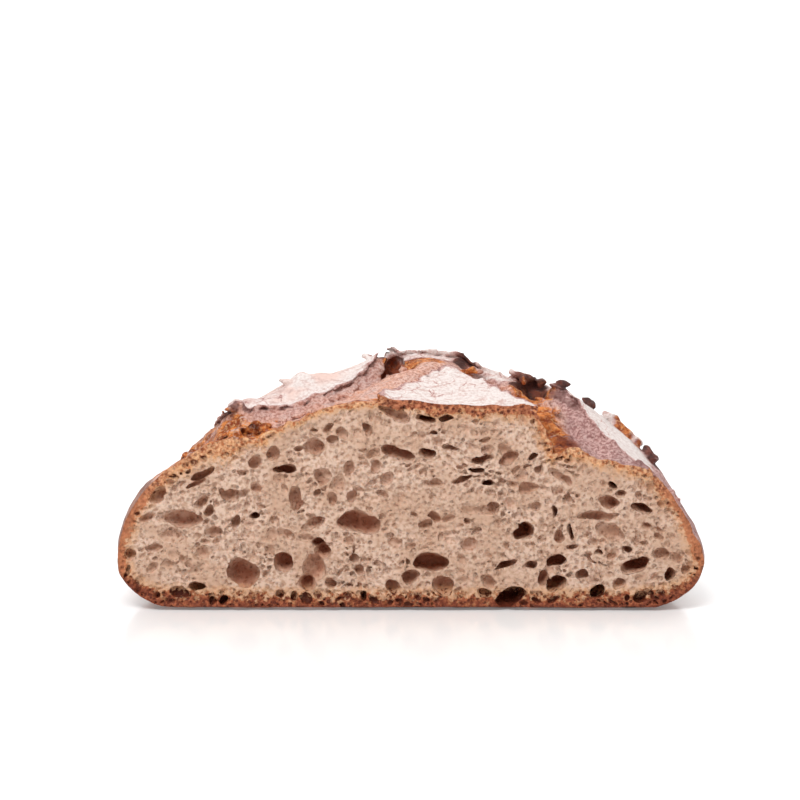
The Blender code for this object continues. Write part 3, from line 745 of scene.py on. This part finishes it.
def colour_masks(plan, outer, points):
    """What the materials need to know at each point: see the two materials for how each is used."""
    depth, x, z = points.T
    under = -sample(outer, (DEPTHS, XS, ZS), (depth, x, z))
    plan_axes, place = (XS, DEPTHS), (x, depth)

    # How thick the baked band is: more at the flanks, the bottom and three places of the upper edge
    side = rise(np.abs(x), 60, 50)
    bottom = fall(z, 16, 10)
    ragged_left = np.exp(-(((x + 84) / 20) ** 2)) * rise(z, 52, 10)
    ragged_right = np.exp(-(((x - 66) / 14) ** 2)) * rise(z, 58, 10)
    rim = rise(x, -20, 16) * fall(x, 57, 4) * rise(z, 70, 5)
    band = 1.9 + 1.8 * side + 5.4 * bottom + 0.8 * rim + 2.0 * ragged_left + 2.4 * ragged_right

    # The plates: their tops, their scorched lips, their flour, and the purple dough beside them
    scorched = patches(SCORCHED_PATCHES, x, depth)
    flour = burn = plate = beside = np.zeros(len(x))
    for name in PLATES:
        inset = sample(plan.inset[name], plan_axes, place)
        top = sample(plan.top[name], plan_axes, place)
        skirt, apron = SKIRTS.get(name, (1.3, 0.6))
        on_top = smooth_step((z - top + skirt) / 0.9) * smooth_step((inset + apron) / 1.2)
        below = top - z
        lip = smooth_step(1 - np.abs(inset - 0.2) / 2.0) * rise(below, 0, 0.9) * fall(below, 3.6, 2)
        plate = np.maximum(plate, on_top)
        tip = 0.95 * scorched * rise(inset, -6, 4) * fall(below, 9, 4)
        burn = np.maximum(burn, np.maximum(LIP_BURN[name] * lip, tip))
        flour = np.maximum(flour, on_top * FLOUR[name](x, depth, inset))
        if name in PURPLE_BESIDE:
            near = rise(inset, -14, 9) * fall(below, 12, 7)
            beside = np.maximum(beside, PURPLE_BESIDE[name] * near)

    # Hollows, painted with shade over their orange-brown dough (more where they sink below the surface),
    # bare flakes and burnt flakes cover the plates, and torn dough lies between them
    hollow = 0.5 * patches(TEAR_SHADE_PATCHES, x, depth)
    sunk = 0.35 + 0.65 * fall(z, sample(plan.height, plan_axes, place), 1.2)
    for px, py, height, half_x, half_depth, half_z in POCKETS:
        apart = ((x - px) / half_x) ** 2 + ((depth - py) / half_depth) ** 2 + ((z - height) / half_z) ** 2
        hollow = np.maximum(hollow, sunk * fall(apart, 2.1, 1.1))
    ridge = patches(RIDGE_PATCHES, x, depth)
    dark = patches(DARK_PATCHES, x, depth)
    covered = (1 - hollow) * (1 - ridge) * (1 - dark)
    plate, flour, burn = plate * covered, flour * covered, burn * (1 - hollow)
    open_dough = fall(depth, 64, 8) * rise(z, 52, 8) * (1 - plate)
    torn = np.maximum(sample(plan.torn, plan_axes, place), open_dough)
    dusted = np.maximum(fall(x, -58, 12), rise(x, -60, 12) * fall(x, -6, 8))
    flour = np.maximum(flour, 0.14 * open_dough * dusted)
    orange = np.maximum(patches(ORANGE_PATCHES, x, depth), ridge)
    edge = fall(depth, 5.5, 3) * rise(x, -86, 8) * fall(x, -2, 8)

    # The purple dough of the right side
    right_flank = rise(x, 92, 6) * rise(z, 30, 14)
    right_wall = rise(x, 63, 6) * smooth_step((z - 60) / 6 + (x - 62) / 20)
    return {
        "under": under,  # not stored: it only tells crust from crumb
        "band": under / band,
        # the depth behind the cut, which the crumb material uses for painted shade in holes and on the
        # set-back foot
        "shade_depth": depth,
        "flour": flour,
        "burn": burn,
        "plate": plate,
        "torn": torn,
        "orange": np.maximum(orange * (1 - 0.8 * right_wall * (1 - ridge)), edge),
        "purple": np.maximum(np.maximum(right_wall, beside * (1 - orange)), 0.8 * right_flank),
        "amber": rise(z, 44, 22) * (1 - 0.85 * rim),
        # painted shade over the orange-brown dough of the hollows, which also keeps flour and plate colour
        # out of them
        "hollow": hollow,
        "dark": dark,
        "blush": rise(sample(plan.inset["left"], plan_axes, place), 4, 6),
    }


def patches(rows, x, depth):
    total = np.zeros(len(x))
    for px, py, radius in rows:
        total = np.maximum(total, np.exp(-(((x - px) ** 2 + (depth - py) ** 2) / radius**2) ** 2))
    return total


# Where torn dough is orange, where flakes are bare or burnt, where lips are scorched, and where
# painted shade darkens the bottom of a tear: x, depth and radius.
ORANGE_PATCHES = [
    (-92, 8, 15), (-78, 7, 12), (-104, 20, 14), (3, 49, 8), (-7, 53, 6), (58, 8, 9), (62, 1, 9),
    (55, 20, 8), (50, 30, 8), (67, 6, 7), (57, 40, 7), (79, 1, 7), (92, 0, 5), (48, 40, 6),
    (-66, 4, 10), (108, 8, 8), (-87, 12, 8), (-97, 12, 12), (9, 48, 6), (64, 12, 9), (25, 46, 4),
    (-94, 30, 12),
]
RIDGE_PATCHES = [(86, 43, 5), (93, 37, 5.5), (100, 30, 5)]
DARK_PATCHES = [
    (53, 47, 8), (79, 47, 5), (103, 25, 5), (66, 43, 6), (-13, 56, 4), (-97, 14, 6), (46, 43, 4),
    (22, 52, 4), (26, 55, 4), (-9, 47, 3),
]
SCORCHED_PATCHES = [(-77, 19, 4), (-70, 20, 3), (64, 36, 6), (70, 33, 4)]
TEAR_SHADE_PATCHES = [(61, 6, 7), (57, 16, 5)]
SKIRTS = {"back": (7.0, 7.0)}  # how far a plate's skin hangs over its edge, down and out
PURPLE_BESIDE = {"left": 0.5, "back": 0.6, "right": 1.0}
LIP_BURN = {"left": 0.95, "front": 0.05, "back": 0.2, "right": 0.1}
FLOUR = {
    "left": lambda x, depth, inset: rise(inset, 0.2, 2) * (0.5 + 0.3 * rise(x, -90, 50)),
    "front": lambda x, depth, inset: 0.82 * rise(inset, 0.2, 2),
    "back": lambda x, depth, inset: 0.7 * rise(inset, -7, 3),
    "right": lambda x, depth, inset: 1.05 * rise(inset, 0.3, 1) * fall(x, 106, 6),
}


# Materials

def srgb(red, green, blue):
    """A colour from the usual 0 to 255 values."""
    shares = [value / 255 for value in (red, green, blue)]
    linear = [share / 12.92 if share <= 0.04045 else ((share + 0.055) / 1.055) ** 2.4 for share in shares]
    return (*linear, 1.0)


MIX_FIRST, MIX_SECOND, MIX_RESULT = 6, 7, 2  # the colour sockets of a mix node


class Graph:
    """Short names for the nodes of one material."""

    def __init__(self, name):
        self.material = bpy.data.materials.new(name)
        self.material.use_nodes = True
        self.tree = self.material.node_tree
        self.shader = self.tree.nodes["Principled BSDF"]
        self.place = self.scaled(self.add("TexCoord").outputs["Object"], 1 / MM)

    def add(self, kind, inputs=None, **settings):
        node = self.tree.nodes.new("ShaderNode" + kind)
        for key, value in settings.items():
            setattr(node, key, value)
        for key, value in (inputs or {}).items():
            self.put(node.inputs[key], value)
        return node

    def put(self, socket, value):
        if isinstance(value, bpy.types.NodeSocket):
            self.tree.links.new(value, socket)
        else:
            socket.default_value = value

    def shade(self, name, value):
        """Sets one of the shader's own sockets, or links it."""
        self.put(self.shader.inputs[name], value)

    def scaled(self, vector, factor):
        return self.add("VectorMath", {0: vector, "Scale": factor}, operation="SCALE").outputs[0]

    def mask(self, name):
        node = self.add("Attribute", attribute_name=name, attribute_type="GEOMETRY")
        return node.outputs["Fac"]

    def math(self, operation, first, second):
        return self.add("Math", {0: first, 1: second}, operation=operation).outputs[0]

    def times(self, first, second):
        return self.math("MULTIPLY", first, second)

    def plus(self, first, second):
        return self.math("ADD", first, second)

    def minus(self, first, second):
        return self.math("SUBTRACT", first, second)

    def ramp(self, value, low, high, to_low=0.0, to_high=1.0):
        inputs = {"Value": value, "From Min": low, "From Max": high, "To Min": to_low, "To Max": to_high}
        return self.add("MapRange", inputs, interpolation_type="SMOOTHSTEP").outputs[0]

    def noise(self, size, detail=3.0, rough=0.55, stretch=(1.0, 1.0, 1.0)):
        place = self.place
        if stretch != (1.0, 1.0, 1.0):
            stretched = self.add("VectorMath", {0: place, 1: stretch}, operation="MULTIPLY")
            place = stretched.outputs[0]
        inputs = {"Vector": place, "Scale": 1 / size, "Detail": detail, "Roughness": rough}
        return self.add("TexNoise", inputs).outputs["Fac"]

    def cells(self, size):
        inputs = {"Vector": self.place, "Scale": 1 / size}
        return self.add("TexVoronoi", inputs).outputs["Distance"]

    def edges(self, size, bend):
        """The distance to the nearest of a net of bent lines, as a share of its cells' size."""
        inputs = {"Vector": self.place, "Scale": 1 / (2 * bend), "Detail": 2.0}
        stray = self.add("TexNoise", inputs).outputs["Color"]
        inputs = {0: self.place, 1: self.scaled(stray, 2 * bend)}
        place = self.add("VectorMath", inputs, operation="ADD").outputs[0]
        inputs = {"Vector": place, "Scale": 1 / size}
        return self.add("TexVoronoi", inputs, feature="DISTANCE_TO_EDGE").outputs["Distance"]

    def mix(self, factor, first, second):
        node = self.add("Mix", data_type="RGBA")
        self.put(node.inputs[0], factor)
        self.put(node.inputs[MIX_FIRST], first)
        self.put(node.inputs[MIX_SECOND], second)
        return node.outputs[MIX_RESULT]

    def bump(self, height, strength, distance_mm, normal=None):
        inputs = {"Height": height, "Strength": strength, "Distance": distance_mm * MM}
        if normal is not None:
            inputs["Normal"] = normal
        return self.add("Bump", inputs).outputs[0]


def crumb_material():
    """The cut face and the walls of its holes, with the crust's band round the edge."""
    g = Graph("crumb")
    grain = g.noise(1.6, 3.0, 0.5)
    tone = g.noise(16.0, 2.0)
    pits = g.cells(1.9)
    bubbles = g.cells(3.3)
    pale = g.mix(g.ramp(tone, 0.35, 0.65), srgb(204, 168, 144), srgb(220, 190, 170))
    colour = g.mix(g.ramp(grain, 0.32, 0.6), srgb(188, 150, 126), pale)
    # Painted shade in the small pits and bubbles of the crumb: the middles of their cells are darkened.
    pit_shade = g.times(g.ramp(pits, 0.38, 0.2), g.ramp(grain, 0.75, 0.4))
    colour = g.mix(g.times(pit_shade, 0.5), colour, srgb(144, 102, 80))
    bubble_shade = g.times(g.ramp(bubbles, 0.33, 0.18), g.ramp(tone, 0.36, 0.56))
    colour = g.mix(g.times(bubble_shade, 0.5), colour, srgb(146, 104, 82))

    # Painted shade in the holes: the crumb gets darker and browner the further it lies behind the cut.
    shade_depth = g.mask("shade_depth")
    colour = g.mix(g.ramp(shade_depth, 0.8, 4.0, 0.0, 0.5), colour, srgb(176, 120, 92))
    colour = g.mix(g.ramp(shade_depth, 3.2, 8.0, 0.0, 0.85), colour, srgb(136, 66, 34))

    band = g.plus(g.mask("band"), g.ramp(g.noise(2.6, 4.0, 0.65), 0.3, 0.7, -0.5, 0.45))
    speckle = g.noise(1.4, 4.0, 0.65)
    baked = g.mix(g.ramp(speckle, 0.34, 0.66), srgb(108, 42, 18), srgb(196, 114, 76))
    amber = g.mix(g.ramp(speckle, 0.34, 0.66), srgb(172, 96, 54), srgb(234, 184, 140))
    toasted = g.mix(g.mask("amber"), baked, amber)
    toasted = g.mix(g.ramp(band, 0.45, 0.95, 0.0, 0.55), toasted, srgb(204, 150, 98))
    # Painted shade in the small holes of the band, fewer towards the top.
    pore_shade = g.times(g.ramp(g.cells(1.9), 0.44, 0.22), g.ramp(g.mask("amber"), 0.0, 1.0, 0.8, 0.4))
    toasted = g.mix(pore_shade, toasted, srgb(84, 26, 10))
    height = g.add("SeparateXYZ", {0: g.place}).outputs["Z"]
    low = g.ramp(height, 22.0, 8.0)
    toasted = g.mix(g.times(low, 0.3), toasted, srgb(100, 40, 20))
    middle = g.times(g.ramp(height, 8.0, 22.0), g.ramp(height, 76.0, 68.0))
    flank = g.times(middle, g.ramp(g.mask("amber"), 0.5, 0.0))
    toasted = g.mix(g.times(flank, 0.6), toasted, srgb(196, 128, 88))
    rind = g.times(g.ramp(band, 0.35, 0.0), g.ramp(low, 0.0, 1.0, 0.25, 0.6))
    toasted = g.mix(rind, toasted, srgb(112, 50, 30))
    # Painted shade: the band is darkened where it lies behind the cut, on hole walls near the crust and on
    # the set-back foot.
    toasted = g.mix(g.ramp(shade_depth, 0.5, 1.6, 0.0, 0.85), toasted, srgb(80, 26, 8))
    colour = g.mix(g.ramp(band, 2.3, 1.0, 0.0, 0.5), colour, srgb(216, 162, 116))
    colour = g.mix(g.ramp(band, 1.15, 0.7), colour, toasted)

    g.shade("Base Color", colour)
    g.shade("Roughness", 0.62)
    g.shade("Specular IOR Level", 0.3)
    g.shade("Subsurface Weight", 0.15)
    g.shade("Subsurface Radius", (1.0, 0.5, 0.3))
    g.shade("Subsurface Scale", 1.2 * MM)
    lumps = g.bump(g.noise(0.9, 3.0, 0.55), 0.4, 0.4)
    small = g.bump(g.ramp(pits, 0.15, 0.42), 0.65, 0.7, lumps)
    g.shade("Normal", g.bump(g.ramp(bubbles, 0.08, 0.4), 0.7, 0.9, small))
    return g.material


def crust_material():
    """The baked skin, the torn dough between the plates, and flour."""
    g = Graph("crust")
    fine = g.noise(1.3, 4.0, 0.65)
    medium = g.noise(5.0, 4.0, 0.6)
    broad = g.noise(22.0, 3.0)
    brown = g.mix(g.ramp(medium, 0.35, 0.65), srgb(106, 56, 34), srgb(160, 98, 66))
    brown = g.mix(g.ramp(fine, 0.55, 0.3, 0.0, 0.6), brown, srgb(78, 38, 22))
    dust = g.ramp(g.plus(g.times(broad, 0.6), g.times(fine, 0.4)), 0.42, 0.62)
    skin = g.mix(g.times(dust, 0.5), brown, srgb(200, 168, 160))

    pink = g.mix(g.ramp(fine, 0.38, 0.6), srgb(194, 134, 116), srgb(240, 200, 184))
    pink = g.mix(g.ramp(g.noise(8.0, 3.0), 0.4, 0.62, 0.0, 0.5), pink, srgb(226, 162, 130))
    purple = g.mix(g.ramp(fine, 0.38, 0.62), srgb(158, 110, 105), srgb(218, 178, 171))
    shreds = g.noise(2.4, 5.0, 0.7, (0.5, 1.3, 1.0))
    orange = g.mix(g.ramp(shreds, 0.36, 0.64), srgb(150, 62, 18), srgb(236, 146, 74))
    orange = g.mix(g.ramp(medium, 0.54, 0.38, 0.0, 0.85), orange, srgb(122, 44, 12))
    # Painted highlights: pale specks on the torn orange dough.
    orange = g.mix(g.ramp(fine, 0.5, 0.66, 0.0, 0.6), orange, srgb(246, 192, 134))
    purple = g.mix(g.ramp(broad, 0.56, 0.4, 0.0, 0.5), purple, srgb(140, 104, 104))
    raw = g.mix(g.mask("purple"), pink, purple)
    raw = g.mix(g.ramp(g.cells(1.7), 0.34, 0.12, 0.0, 0.4), raw, srgb(120, 68, 56))
    raggedness = g.times(g.minus(shreds, 0.5), 1.4)
    raw = g.mix(g.ramp(g.plus(g.mask("orange"), raggedness), 0.35, 0.65), raw, orange)
    colour = g.mix(g.ramp(g.mask("torn"), 0.15, 0.6), skin, raw)
    colour = g.mix(g.times(g.mask("purple"), 0.7), colour, raw)

    plate = g.mix(g.ramp(fine, 0.38, 0.62), srgb(156, 108, 102), srgb(212, 172, 166))
    colour = g.mix(g.times(g.mask("plate"), 0.9), colour, plate)

    scorched = g.mix(g.ramp(medium, 0.42, 0.6), srgb(92, 50, 44), srgb(146, 106, 100))
    patchy = g.times(g.minus(g.noise(4.0, 3.0), 0.5), 1.6)
    burnt = g.plus(g.mask("burn"), patchy)
    colour = g.mix(g.ramp(burnt, 0.45, 0.95, 0.0, 0.9), colour, scorched)

    streaks = g.noise(3.6, 4.0, 0.62, (0.5, 1.5, 1.0))
    cracks = g.plus(g.times(streaks, 0.65), g.times(fine, 0.35))
    amount = g.plus(g.mask("flour"), g.times(g.minus(cracks, 0.5), 2.6))
    lines = g.plus(g.edges(7.0, 2.2), g.ramp(broad, 0.42, 0.6, 0.1, 0.0))
    amount = g.minus(amount, g.ramp(lines, 0.07, 0.0, 0.0, 0.6))
    white = g.mix(g.ramp(fine, 0.3, 0.7), srgb(214, 198, 192), srgb(236, 226, 222))
    blush = g.times(g.ramp(g.noise(13.0, 3.0), 0.42, 0.58, 0.0, 0.75), g.mask("blush"))
    white = g.mix(blush, white, srgb(228, 194, 182))
    colour = g.mix(g.ramp(amount, 0.12, 0.5, 0.0, 0.8), colour, srgb(214, 186, 178))
    colour = g.mix(g.ramp(amount, 0.45, 0.85), colour, white)

    cinder = g.mix(g.ramp(medium, 0.42, 0.62), srgb(56, 20, 14), srgb(118, 60, 46))
    colour = g.mix(g.ramp(g.plus(g.mask("dark"), raggedness), 0.45, 0.75, 0.0, 0.92), colour, cinder)
    # Painted shade over the orange-brown dough of the hollows and the bottoms of tears.
    hollow_shade_colour = g.mix(g.ramp(shreds, 0.36, 0.64), srgb(84, 26, 8), srgb(150, 68, 26))
    colour = g.mix(g.times(g.mask("hollow"), 0.95), colour, hollow_shade_colour)

    g.shade("Base Color", colour)
    g.shade("Roughness", g.ramp(amount, 0.2, 0.6, 0.62, 0.95))
    g.shade("Specular IOR Level", 0.3)
    rough = g.bump(medium, 0.5, 1.0)
    torn_lumps = g.bump(g.times(shreds, g.mask("torn")), 0.8, 2.0, rough)
    g.shade("Normal", g.bump(fine, 0.6, 0.5, torn_lumps))
    return g.material


# Building the loaf

SKIN_DEPTH = 0.35  # a point is on the crust if it is no deeper than this in the bread
FACE_DEPTH = 0.45  # and further than this behind the cut


def build_loaf():
    plan = Plan()
    outer = outer_field(plan)
    holes = carve_holes(outer)
    solid = cut_and_carve(outer, holes)
    points, faces, block = whole_surface(solid)
    masks = colour_masks(plan, outer, points)
    depth, x, z = points.T
    world = np.stack([x * MM + MIDDLE_X, depth * MM + FACE_Y, z * MM], axis=1)

    outside = (masks.pop("under") < SKIN_DEPTH) & (depth > FACE_DEPTH)
    is_crust = (outside[faces].sum(axis=1) >= 3) | (block > 0)
    middle_x = x[faces].mean(axis=1)
    materials = {"crumb": crumb_material(), "crust": crust_material()}
    choices = {
        "crumb_far_left": ~is_crust & (middle_x < -60),
        "crumb_left": ~is_crust & (middle_x >= -60) & (middle_x < 0),
        "crumb_right": ~is_crust & (middle_x >= 0) & (middle_x < 60),
        "crumb_far_right": ~is_crust & (middle_x >= 60),
        "crust_front": is_crust & (block == 0),
        "crust_upper": is_crust & (block == 1),
        "crust_rear": is_crust & (block == 2),
    }
    for name, chosen in choices.items():
        piece = make_piece(name, world, faces[chosen], masks, materials[name.split("_")[0]])
        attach(piece, "root")
        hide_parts("half_loaf")


# Camera, ground and light

CAMERA_HEIGHT = 0.246
CAMERA_BEFORE_FACE = 1.031
AIM_X, AIM_HEIGHT = -0.0045, 0.0905
LENS_MM = 111.8
GROUND_SIZE = 4.0
GROUND_GAP = 0.0002
SWEEP_START = 1.2
SWEEP_RADIUS = 0.8
SWEEP_STEPS = 16
WALL_HEIGHT = 3.0
GROUND_GLOW = 0.14
FAR_GLOW = 0.5
GLOW_START = 200.0  # where the ground's glow starts to rise, and where it is full
GLOW_END = 1100.0
ROOM_LIGHT = 0.42
LIGHT_AIM = (0, 0, 0.05)


def point_at(obj, place, aim):
    obj.location = place
    obj.rotation_euler = (Vector(aim) - obj.location).to_track_quat("-Z", "Y").to_euler()


def make_camera():
    camera = add_object("camera", bpy.data.cameras.new("camera"))
    point_at(camera, (0, FACE_Y - CAMERA_BEFORE_FACE, CAMERA_HEIGHT), (AIM_X, FACE_Y, AIM_HEIGHT))
    camera.data.sensor_width = 36
    camera.data.lens = LENS_MM
    camera.data.clip_start = 0.05
    camera.data.clip_end = 20
    bpy.context.scene.camera = camera


def make_ground():
    """A white sweep: flat ground that curves up into a wall far behind the loaf."""
    line = [(-GROUND_SIZE, 0.0), (SWEEP_START, 0.0)]
    for step in range(1, SWEEP_STEPS + 1):
        angle = math.pi / 2 * step / SWEEP_STEPS
        line.append((SWEEP_START + SWEEP_RADIUS * math.sin(angle), SWEEP_RADIUS * (1 - math.cos(angle))))
    line.append((line[-1][0], WALL_HEIGHT))
    points = [(x, y, z) for y, z in line for x in (-GROUND_SIZE, GROUND_SIZE)]
    faces = [(n, n + 1, n + 3, n + 2) for n in range(0, len(points) - 2, 2)]
    mesh = bpy.data.meshes.new("ground")
    mesh.from_pydata(points, [], faces)
    mesh.shade_smooth()
    g = Graph("ground")
    g.shade("Base Color", (0.9, 0.9, 0.9, 1))
    g.shade("Roughness", 0.16)
    g.shade("Specular IOR Level", 0.5)
    g.shade("Emission Color", (1, 1, 1, 1))
    behind = g.add("SeparateXYZ", {0: g.place}).outputs["Y"]
    g.shade("Emission Strength", g.ramp(behind, GLOW_START, GLOW_END, GROUND_GLOW, FAR_GLOW))
    mesh.materials.append(g.material)
    ground = add_object("ground", mesh)
    ground.location.z = -GROUND_GAP


def add_area(name, place, size, power):
    light = bpy.data.lights.new(name, "AREA")
    light.shape = "RECTANGLE"
    light.size, light.size_y = size
    light.energy = power
    point_at(add_object(name, light), place, LIGHT_AIM)


def make_light():
    world = bpy.data.worlds.new("white_room")
    world.use_nodes = True
    background = world.node_tree.nodes["Background"]
    background.inputs["Color"].default_value = (1.0, 1.0, 1.0, 1)
    background.inputs["Strength"].default_value = ROOM_LIGHT
    bpy.context.scene.world = world
    add_area("key_light", (-0.35, -0.95, 1.25), (0.8, 0.6), 17.0)
    add_area("top_light", (0.35, 0.45, 1.3), (0.8, 0.8), 5.0)
    bpy.context.scene.view_settings.view_transform = "Standard"


make_camera()
make_ground()
make_light()
build_loaf()
